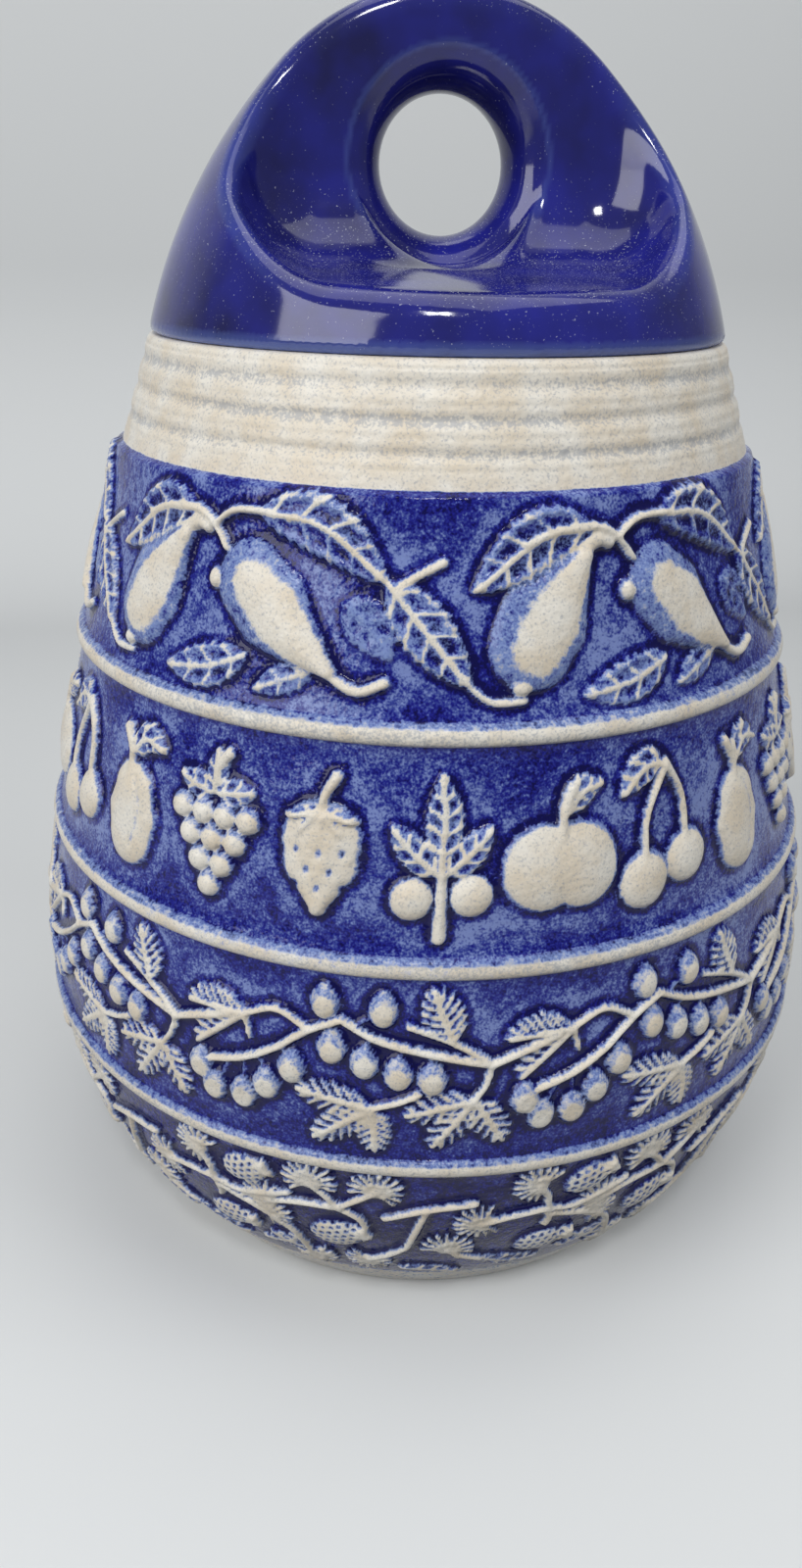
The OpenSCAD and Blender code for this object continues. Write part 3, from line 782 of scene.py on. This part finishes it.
def liner_glaze(finish):
    """Plain salt glaze inside the jar: cream, a little uneven, glossy."""
    material, tree, shader, place = blank("salt_glaze_liner")
    cloud = noise(tree, place, 12.0, 2.0)
    tone = ramp(tree, cloud, ((0.3, tuple(finish.liner)), (0.8, tuple(finish.clay))))
    tree.links.new(tone, shader.inputs["Base Color"])
    shader.inputs["Roughness"].default_value = 0.28
    peel = noise(tree, place, 1.5, 1.0)
    bump = node(tree, "ShaderNodeBump", {"Height": peel, "Strength": 0.25, "Distance": 0.0003})
    tree.links.new(bump.outputs[0], shader.inputs["Normal"])
    return material


def bare_stoneware(finish):
    """Unglazed stoneware on the foot: matt, buff, with coarse grog."""
    material, tree, shader, place = blank("unglazed_stoneware")
    grog = noise(tree, place, 0.8, 2.0, 0.6)
    tone = ramp(tree, grog, ((0.3, tuple(c * 0.75 for c in finish.bare_clay)), (0.6, tuple(finish.bare_clay))))
    tree.links.new(tone, shader.inputs["Base Color"])
    shader.inputs["Roughness"].default_value = 0.85
    bump = node(tree, "ShaderNodeBump", {"Height": grog, "Strength": 0.4, "Distance": 0.0004})
    tree.links.new(bump.outputs[0], shader.inputs["Normal"])
    return material


def cobalt_gloss(finish):
    """Poured cobalt gloss glaze: deep blue, glassy, paler where it runs thin off an edge,
    with a little house dust on what faces up."""
    material, tree, shader, place = blank("cobalt_gloss_glaze")
    thin = node(tree, "ShaderNodeAttribute", attribute_name="thin").outputs["Fac"]
    upward = node(tree, "ShaderNodeAttribute", attribute_name="upward").outputs["Fac"]
    cloud = noise(tree, place, 22.0, 3.0, 0.55)
    depth = ramp(tree, cloud, ((0.3, tuple(finish.lid_deep)), (0.7, tuple(finish.lid_glaze))))
    edge = node(tree, "ShaderNodeMix", {0: thin, 6: depth, 7: (*finish.lid_thin, 1)}, data_type="RGBA").outputs[2]
    # dust grains of about a third of a millimetre, drawn twice that so that they show
    grains = noise(tree, place, 0.5, 1.0, 0.5)
    drift = noise(tree, place, 14.0, 2.0, 0.5)
    lying = math_node(tree, "MULTIPLY_ADD", upward, 0.10, math_node(tree, "MULTIPLY_ADD", drift, 0.10, grains))
    specks = ramp(tree, lying, ((0.78, 0.0), (0.86, 1.0)))
    veil = math_node(tree, "MULTIPLY_ADD", specks, 0.45, 0.012)
    tone = node(tree, "ShaderNodeMix", {0: veil, 6: edge, 7: (*finish.dust, 1)}, data_type="RGBA").outputs[2]
    tree.links.new(tone, shader.inputs["Base Color"])
    rough = node(tree, "ShaderNodeMapRange", {"Value": veil, "To Min": 0.09, "To Max": 0.6}).outputs[0]
    tree.links.new(rough, shader.inputs["Roughness"])
    shader.inputs["IOR"].default_value = 1.55
    wave = noise(tree, place, 9.0, 1.0, 0.4)
    bump = node(tree, "ShaderNodeBump", {"Height": wave, "Strength": 0.12, "Distance": 0.0004})
    tree.links.new(bump.outputs[0], shader.inputs["Normal"])
    return material


def studio_paper(stage):
    """Matt studio paper: pale wherever the camera or a gloss sees it, and it keeps the shadow."""
    material, tree, shader, place = blank("studio_paper")
    path = node(tree, "ShaderNodeLightPath").outputs
    seen = math_node(tree, "ADD", path["Is Camera Ray"], path["Is Glossy Ray"])
    seen = math_node(tree, "ADD", seen, path["Is Transmission Ray"])
    tone = node(tree, "ShaderNodeMix", {0: seen, 6: (*stage.bounce, 1), 7: (*stage.paper, 1)},
                data_type="RGBA").outputs[2]
    tree.links.new(tone, shader.inputs["Base Color"])
    shader.inputs["Roughness"].default_value = 0.9
    shader.inputs["Specular IOR Level"].default_value = 0.1
    return material


def kept(name, make, *args):
    """The material of that name, made once."""
    return bpy.data.materials.get(name) or make(*args)


# Operators: one for each piece or group of like pieces


class CROCK_OT_jar(bpy.types.Operator):
    """Turn the jar: foot, wall, girdles, neck with its throwing rings, rim and inside"""
    bl_idname = "crock.jar"
    bl_label = "Jar"

    def execute(self, context):
        jar, finish = context.scene.crock_jar, context.scene.crock_finish
        wall = Wall(jar)
        if wall.join_z > jar.neck_z:
            raise RuntimeError("the belly's arc runs past the neck")
        profile = self.profile(jar, wall)
        bm = bmesh.new()
        verts = [bm.verts.new((r * MM, 0, z * MM)) for r, z in profile]
        edges = [bm.edges.new(pair) for pair in zip(verts, verts[1:])]
        bmesh.ops.spin(bm, geom=verts + edges, cent=(0, 0, 0), axis=(0, 0, 1), angle=math.tau,
                       steps=240, use_merge=True)
        bmesh.ops.remove_doubles(bm, verts=bm.verts, dist=1e-6)
        bmesh.ops.recalc_face_normals(bm, faces=bm.faces)
        piece = shown("jar_body", bm, [kept("salt_glazed_cobalt_slip", salt_glaze, finish),
                                       kept("salt_glaze_liner", liner_glaze, finish),
                                       kept("unglazed_stoneware", bare_stoneware, finish)],
                      "jar", "jar")
        self.finish(piece.data, jar, wall)
        return {"FINISHED"}

    def profile(self, jar, wall):
        """Radius and height from the middle of the base round the outside to the floor inside."""
        foot_z = jar.foot_round
        foot_x = float(on_arc(wall.belly, jar.belly_curve - jar.foot_round, foot_z))
        inner = foot_x - jar.foot_w
        recess, floor = jar.foot_recess, jar.foot_recess + jar.base
        line = [(0, recess), (inner * 0.5, recess), (inner - 1, recess), (inner - 0.3, recess - 0.3),
                (inner, recess - 1), (inner, 1.0), (inner + 0.3, 0.3), (inner + 1, 0), (foot_x - 3, 0)]
        end = math.atan2(foot_z - wall.belly[1], foot_x - wall.belly[0])
        for i in range(8):
            a = -math.pi / 2 + (end + math.pi / 2) * i / 7
            line.append((foot_x + jar.foot_round * math.cos(a), foot_z + jar.foot_round * math.sin(a)))
        z, stops = line[-1][1] + 0.8, []
        while z < jar.jar_h - jar.rim_round:
            stops.append(z)
            close = min(abs(z - g) for g in (jar.girdle_low, jar.girdle_mid, jar.girdle_top))
            fine = z > jar.neck_z - 2 or abs(z - jar.foot_line) < 3
            z += 0.4 if close < 4 else 0.45 if fine else 2.0
        stops = np.array(stops)
        radii = wall.outer(stops) + wall.girdle(stops) - wall.marks(stops)
        line += list(zip(radii.tolist(), stops.tolist()))
        edge = jar.jar_h - jar.rim_round
        for inward, first, last in ((jar.rim_round, 0, 90), (jar.wall - jar.rim_round, 90, 180)):
            x = float(wall.outer(edge, inward))
            for i in range(7):
                a = math.radians(first + (last - first) * i / 6)
                line.append((x + jar.rim_round * math.cos(a), edge + jar.rim_round * math.sin(a)))
        corner_z = floor + jar.corner
        inside = np.linspace(edge - 2, corner_z, 70)
        line += list(zip(wall.outer(inside, jar.wall).tolist(), inside.tolist()))
        x = float(wall.outer(corner_z, jar.wall)) - jar.corner
        for i in range(1, 13):
            a = -math.pi / 2 * i / 12
            line.append((x + jar.corner * math.cos(a), corner_z + jar.corner * math.sin(a)))
        return line + [(x * 0.5, floor), (0, floor)]

    def finish(self, mesh, jar, wall):
        """Says where the slip was wiped, where it pooled, darker in the groove above the foot with painted shade
        too, and which faces are lined or bare.
        """
        p = points_of(mesh)
        r, z = np.hypot(p[:, 0], p[:, 1]), p[:, 2]
        turn = np.arctan2(p[:, 1], p[:, 0])
        girdle = wall.girdle(z)
        # a girdle's upper side keeps more slip than its lower side
        wiped = smooth(1.0, 2.3, wall.girdle(z + 0.7)) * (0.88 + 0.12 * np.sin(turn * 2 + z * 0.07))
        wiped = np.maximum(wiped, 0.42 * smooth(0.5, 1.5, girdle))
        neck = smooth(jar.neck_z - 0.6, jar.neck_z + 0.2, z)
        wiped = np.maximum(wiped, neck)
        ring = wall.marks(z)
        foot = 1 - smooth(jar.foot_line - 1.2, jar.foot_line - 0.2, z)
        wiped = np.maximum(wiped, foot * 0.72)
        paint(mesh, "wiped", wiped)
        # darker in the groove above the foot: pooled slip, and painted shade in the groove
        paint(mesh, "pool_and_shade", smooth(0.35, 0.6, ring) * (z < 40) * 0.9)
        streak = 0.6 + 0.4 * np.sin(turn * 3 + z * 0.4)
        paint(mesh, "worn", neck * smooth(0.1, 0.5, ring) * streak + 0.5 * (girdle > 0.3) * streak)
        faces = len(mesh.polygons)
        centre = np.empty(faces * 3, np.float32)
        mesh.polygons.foreach_get("center", centre)
        normal = np.empty(faces * 3, np.float32)
        mesh.polygons.foreach_get("normal", normal)
        c, n = centre.reshape(-1, 3) / MM, normal.reshape(-1, 3)
        radial = np.hypot(c[:, 0], c[:, 1])
        inside = (c[:, 2] > jar.foot_recess + 1) & (radial < wall.outer(np.clip(c[:, 2], 3, jar.jar_h)) - jar.wall * 0.6)
        under = (c[:, 2] < 3.5) & (n[:, 2] < 0.3) & (radial < 86)
        mesh.polygons.foreach_set("material_index", np.where(inside, 1, np.where(under, 2, 0)).astype(np.int32))


class CROCK_OT_pears(bpy.types.Operator):
    """Mould the pear frieze under the neck"""
    bl_idname = "crock.pears"
    bl_label = "Pear Frieze"

    def execute(self, context):
        scene = context.scene
        jar, wall = scene.crock_jar, Wall(scene.crock_jar)
        low, high = jar.girdle_top, jar.neck_z
        period = math.tau * (float(wall.outer(200)) + 0.5) / 6
        pattern = Relief(period, low, high, 172, 90)
        draw_pears(pattern, (low + high) / 2 - 0.5)
        shift(pattern, 20 / 60)
        frieze("frieze_pears", wall, scene.crock_relief, pattern, 6, 172 * 6,
               [kept("salt_glazed_cobalt_slip", salt_glaze, scene.crock_finish)], top=True)
        return {"FINISHED"}


class CROCK_OT_fruits(bpy.types.Operator):
    """Mould the band of bold fruits round the middle"""
    bl_idname = "crock.fruits"
    bl_label = "Fruit Band"

    def execute(self, context):
        scene = context.scene
        jar, wall = scene.crock_jar, Wall(scene.crock_jar)
        low, high = jar.girdle_mid, jar.girdle_top
        period = math.tau * (float(wall.outer(150)) + 0.5) / 4
        pattern = Relief(period, low, high, 258, 92)
        draw_fruits(pattern, (low + high) / 2 - 0.5, period / 6)
        frieze("frieze_fruits", wall, scene.crock_relief, pattern, 4, 258 * 4,
               [kept("salt_glazed_cobalt_slip", salt_glaze, scene.crock_finish)])
        return {"FINISHED"}


class CROCK_OT_currants(bpy.types.Operator):
    """Mould the currant frieze round the belly"""
    bl_idname = "crock.currants"
    bl_label = "Currant Frieze"

    def execute(self, context):
        scene = context.scene
        jar, wall = scene.crock_jar, Wall(scene.crock_jar)
        low, high = jar.girdle_low, jar.girdle_mid
        period = math.tau * (float(wall.outer(98)) + 0.5) / 9
        pattern = Relief(period, low, high, 116, 92)
        draw_currants(pattern, period / 40)
        frieze("frieze_currants", wall, scene.crock_relief, pattern, 9, 116 * 9,
               [kept("salt_glazed_cobalt_slip", salt_glaze, scene.crock_finish)])
        return {"FINISHED"}


class CROCK_OT_brambles(bpy.types.Operator):
    """Mould the raspberry frieze above the foot"""
    bl_idname = "crock.brambles"
    bl_label = "Raspberry Frieze"

    def execute(self, context):
        scene = context.scene
        jar, wall = scene.crock_jar, Wall(scene.crock_jar)
        low, high = jar.foot_line, jar.girdle_low
        period = math.tau * (float(wall.outer(50)) + 0.5) / 8
        pattern = Relief(period, low, high, 130, 84)
        draw_brambles(pattern, period / 45)
        frieze("frieze_raspberries", wall, scene.crock_relief, pattern, 8, 130 * 8,
               [kept("salt_glazed_cobalt_slip", salt_glaze, scene.crock_finish)])
        return {"FINISHED"}


def shift(pattern, share):
    """Turns the pattern round the jar by a share of its repeat."""
    step = int(round(share * pattern.height.shape[1]))
    pattern.height = np.roll(pattern.height, step, axis=1)
    pattern.wiped = np.roll(pattern.wiped, step, axis=1)


# The lid


class LidForm:
    """Signed distance, in millimetres, to the lid's softened surface."""

    def __init__(self, lid, jar):
        self.lid, self.rim_r, self.top = lid, jar.rim_r, jar.jar_h
        self.side = (jar.rim_r - lid.side_curve * math.cos(lid.lean), -lid.side_curve * math.sin(lid.lean))
        self.turn = math.acos(-self.side[0] / (lid.side_curve - lid.crown_curve))
        self.crown = self.side[1] + (lid.side_curve - lid.crown_curve) * math.sin(self.turn)

    def dome(self, rho, z):
        """Distance outside the dome."""
        crown = np.hypot(rho, z - self.crown) - self.lid.crown_curve
        side = np.hypot(rho - self.side[0], z - self.side[1]) - self.lid.side_curve
        return np.where(np.arctan2(z - self.crown, rho) > self.turn, crown, side)

    def scoop(self, x, y, z):
        """Distance outside a scoop, for either side of the fin."""
        lid = self.lid
        near = lid.fin_t / 2 + lid.scoop_round
        fall = math.tan(lid.scoop_fall)
        a = np.abs(x) - (lid.scoop_half_w - lid.scoop_round)
        b = near - np.abs(y)
        c = ((lid.scoop_floor + lid.scoop_round) - (np.abs(y) - near) * fall - z) * math.cos(lid.scoop_fall)
        away = np.sqrt(np.maximum(a, 0) ** 2 + np.maximum(b, 0) ** 2 + np.maximum(c, 0) ** 2)
        return away + np.minimum(np.maximum(np.maximum(a, b), c), 0) - lid.scoop_round

    def hole(self, x, y, z):
        """Distance into the finger hole, measured from the clay round it."""
        lid = self.lid
        rho = np.hypot(x, z - lid.hole_z)
        ring = lid.hole_r + lid.hole_lip
        face = ring - math.sqrt(lid.hole_lip ** 2 - lid.fin_t ** 2 / 4)
        return np.minimum(np.hypot(np.minimum(rho - ring, 0), y) - lid.hole_lip, face - rho)

    def distance(self, p):
        """Below 0 inside the clay."""
        lid = self.lid
        x, y, z = p[:, 0], p[:, 1], p[:, 2] - self.top
        rho = np.hypot(x, y)
        dome, scoop, hole = self.dome(rho, z), self.scoop(x, y, z), self.hole(x, y, z)
        skin = round_max(dome, -scoop, lid.edge)
        skin = round_max(skin, hole, 3.0)
        plain = np.maximum(np.maximum(dome, -scoop), hole)
        room = round_max(plain + lid.wall, rho - (lid.flange_r - lid.flange_t), 3.0)
        solid = round_max(skin, -z, 2.8)
        solid = round_max(solid, -room, 0.8)
        ring = np.abs(rho - (lid.flange_r - lid.flange_t / 2)) - lid.flange_t / 2
        flange = round_max(round_max(ring, -lid.flange_h - z, 2.0), z - 3, 1.0)
        return -round_max(-solid, -flange, 1.2)

    def gradient(self, p, step=0.05):
        """Slope of the distance."""
        out = np.empty_like(p)
        for axis in range(3):
            move = np.zeros(3)
            move[axis] = step
            out[:, axis] = (self.distance(p + move) - self.distance(p - move)) / (2 * step)
        return out


def round_max(a, b, soft):
    """The larger of a and b, rounded over where they cross."""
    h = np.maximum(soft - np.abs(a - b), 0) / soft
    return np.maximum(a, b) + h * h * soft / 4


class CROCK_OT_lid(bpy.types.Operator):
    """Cast the lid: dome, two scoops, pierced fin, hollow underside and flange"""
    bl_idname = "crock.lid"
    bl_label = "Lid"

    def execute(self, context):
        scene = context.scene
        form = LidForm(scene.crock_lid, scene.crock_jar)
        # a copy of the solid lid, welded and cut into even squares
        bm = bmesh.new()
        bm.from_mesh(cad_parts["lid"].data)
        bmesh.ops.remove_doubles(bm, verts=bm.verts, dist=1e-6)
        rough = bpy.data.meshes.new("lid_rough")
        bm.to_mesh(rough)
        bm.free()
        holder = bpy.data.objects.new("lid_rough", rough)
        scene.collection.objects.link(holder)
        squares = holder.modifiers.new("squares", "REMESH")
        squares.mode = "VOXEL"
        squares.voxel_size = 1.05 * MM
        graph = context.evaluated_depsgraph_get()
        mesh = bpy.data.meshes.new_from_object(holder.evaluated_get(graph))
        bpy.data.objects.remove(holder)
        if len(mesh.vertices) < 10000:
            raise RuntimeError("the lid's surface didn't remesh")
        # every point goes onto the softened form
        p = points_of(mesh)
        for _ in range(8):
            slope = form.gradient(p)
            far = form.distance(p)[:, None]
            p -= np.clip(far / np.maximum((slope ** 2).sum(axis=1), 0.25)[:, None], -1, 1) * slope
        move_points(mesh, p)
        piece = shown_mesh("lid_cast", mesh, [kept("cobalt_gloss_glaze", cobalt_gloss, scene.crock_finish)],
                           "lid", "lid")
        self.finish(piece.data, form, p)
        return {"FINISHED"}

    def finish(self, mesh, form, p):
        """Glaze runs thin off sharp edges, and dust lies on what faces up."""
        slope = form.gradient(p)
        slope /= np.maximum(np.linalg.norm(slope, axis=1), 1e-6)[:, None]
        bend = (form.gradient(p + slope * 1.5) - form.gradient(p - slope * 1.5))
        z = p[:, 2] - form.top
        rho = np.hypot(p[:, 0], p[:, 1])
        rim = np.exp(-((z - 0.5) / 0.9) ** 2) * (rho > 70)
        sharp = self.curvature(form, p, slope)
        paint(mesh, "thin", np.clip(0.75 * rim + 0.25 * smooth(0.12, 0.35, sharp), 0, 1))
        paint(mesh, "upward", np.clip(slope[:, 2], 0, 1) * (z > 1) * (form.distance(p + [0, 0, 9]) > 0))

    def curvature(self, form, p, slope):
        """How sharply the surface bends outward, per millimetre."""
        total = np.zeros(len(p))
        for axis in range(3):
            move = np.zeros(3)
            move[axis] = 1.0
            total += (form.distance(p + move) + form.distance(p - move) - 2 * form.distance(p))
        return total


class CROCK_OT_stage(bpy.types.Operator):
    """Lay the studio paper, hang the lamps and set the camera of the photograph"""
    bl_idname = "crock.stage"
    bl_label = "Stage"

    def execute(self, context):
        scene = context.scene
        stage = scene.crock_stage
        self.paper(scene, stage)
        self.camera(scene, stage)
        self.lamp(scene, "window_left", (-1.05, -0.75, 0.85), (0, 0, 0.16), 0.9, 1.1, 13)
        fill = self.lamp(scene, "sky_right", (1.0, -0.6, 0.9), (0, 0, 0.15), 0.8, 0.8, 5)
        fill.visible_glossy = False
        self.lamp(scene, "overhead", (0.1, 0.15, 1.5), (0, 0, 0.1), 1.2, 1.2, 6)
        self.lamp(scene, "ceiling", (-0.15, -1.0, 1.5), (0, 0, 0.15), 0.22, 0.22, 5)
        world = bpy.data.worlds.new("soft_room")
        world.use_nodes = True
        back = world.node_tree.nodes["Background"]
        back.inputs["Color"].default_value = (*linear("#dfe4ea"), 1)
        back.inputs["Strength"].default_value = 0.27
        scene.world = world
        scene.view_settings.view_transform = "Standard"
        return {"FINISHED"}

    def paper(self, scene, stage):
        """A sheet that lies flat and sweeps up behind the jar."""
        bm = bmesh.new()
        line = [(-1.6, 0), (0.55, 0)]
        for i in range(1, 13):
            a = math.pi / 2 * i / 12
            line.append((0.55 + 0.25 * math.sin(a), 0.25 - 0.25 * math.cos(a)))
        line.append((0.8, 1.8))
        verts = [bm.verts.new((-2.2, y, z - 0.0002)) for y, z in line]
        edges = [bm.edges.new(pair) for pair in zip(verts, verts[1:])]
        made = bmesh.ops.extrude_edge_only(bm, edges=edges)["geom"]
        bmesh.ops.translate(bm, verts=[v for v in made if isinstance(v, bmesh.types.BMVert)], vec=(4.4, 0, 0))
        bmesh.ops.recalc_face_normals(bm, faces=bm.faces)
        mesh = bpy.data.meshes.new("studio_paper")
        bm.to_mesh(mesh)
        bm.free()
        mesh.polygons.foreach_set("use_smooth", np.ones(len(mesh.polygons), bool))
        mesh.materials.append(kept("studio_paper", studio_paper, stage))
        sheet = bpy.data.objects.new("studio_paper", mesh)
        scene.collection.objects.link(sheet)

    def camera(self, scene, stage):
        """The camera stands where the photographer's did."""
        data = bpy.data.cameras.new("photo_view")
        data.sensor_fit, data.sensor_height, data.lens = "VERTICAL", 36, stage.lens
        data.clip_start, data.clip_end = 0.01, 20
        cam = bpy.data.objects.new("photo_view", data)
        scene.collection.objects.link(cam)
        cp, sp = math.cos(stage.pitch), math.sin(stage.pitch)
        cy, sy = math.cos(stage.yaw), math.sin(stage.yaw)
        cr, sr = math.cos(stage.roll), math.sin(stage.roll)
        ahead = np.array([sy * cp, cy * cp, -sp])
        right = np.array([cy, -sy, 0.0])
        above = np.cross(right, ahead)
        right, above = cr * right + sr * above, -sr * right + cr * above
        turn = np.array(Matrix.Rotation(stage.azimuth, 3, "Z"))
        eye = turn @ np.array([0, -stage.distance, stage.height]) * MM
        frame_axes = np.column_stack([turn @ right, turn @ above, -(turn @ ahead)])
        pose = np.eye(4)
        pose[:3, :3], pose[:3, 3] = frame_axes, eye
        cam.matrix_world = Matrix(pose.tolist())
        scene.camera = cam

    def lamp(self, scene, name, place, target, wide, tall, watts):
        """A soft area lamp that faces a point."""
        data = bpy.data.lights.new(name, "AREA")
        data.shape, data.size, data.size_y, data.energy = "RECTANGLE", wide, tall, watts
        lamp = bpy.data.objects.new(name, data)
        scene.collection.objects.link(lamp)
        lamp.rotation_euler = (Vector(target) - Vector(place)).to_track_quat("-Z", "Y").to_euler()
        lamp.location = place
        return lamp


class CROCK_PT_panel(bpy.types.Panel):
    """Lists the crock's pieces and sizes"""
    bl_label = "Fruit Crock"
    bl_idname = "CROCK_PT_panel"
    bl_space_type = "VIEW_3D"
    bl_region_type = "UI"
    bl_category = "Crock"

    def draw(self, context):
        for step in PIECES:
            self.layout.operator(step.bl_idname)
        for name, group in GROUPS.items():
            box = self.layout.box()
            box.label(text=name.replace("crock_", "").title())
            for prop in group.__annotations__:
                box.prop(getattr(context.scene, name), prop)


GROUPS = {
    "crock_jar": CROCK_PG_jar,
    "crock_relief": CROCK_PG_relief,
    "crock_lid": CROCK_PG_lid,
    "crock_finish": CROCK_PG_finish,
    "crock_stage": CROCK_PG_stage,
}
PIECES = (CROCK_OT_jar, CROCK_OT_pears, CROCK_OT_fruits, CROCK_OT_currants, CROCK_OT_brambles,
          CROCK_OT_lid, CROCK_OT_stage)


def register():
    for cls in (*GROUPS.values(), *PIECES, CROCK_PT_panel):
        bpy.utils.register_class(cls)
    for name, group in GROUPS.items():
        setattr(bpy.types.Scene, name, bpy.props.PointerProperty(type=group))


def unregister():
    for name in GROUPS:
        delattr(bpy.types.Scene, name)
    for cls in reversed((*GROUPS.values(), *PIECES, CROCK_PT_panel)):
        bpy.utils.unregister_class(cls)


def main():
    register()
    bpy.ops.crock.jar()
    bpy.ops.crock.pears()
    bpy.ops.crock.fruits()
    bpy.ops.crock.currants()
    bpy.ops.crock.brambles()
    bpy.ops.crock.lid()
    bpy.ops.crock.stage()


if __name__ == "__main__":
    main()
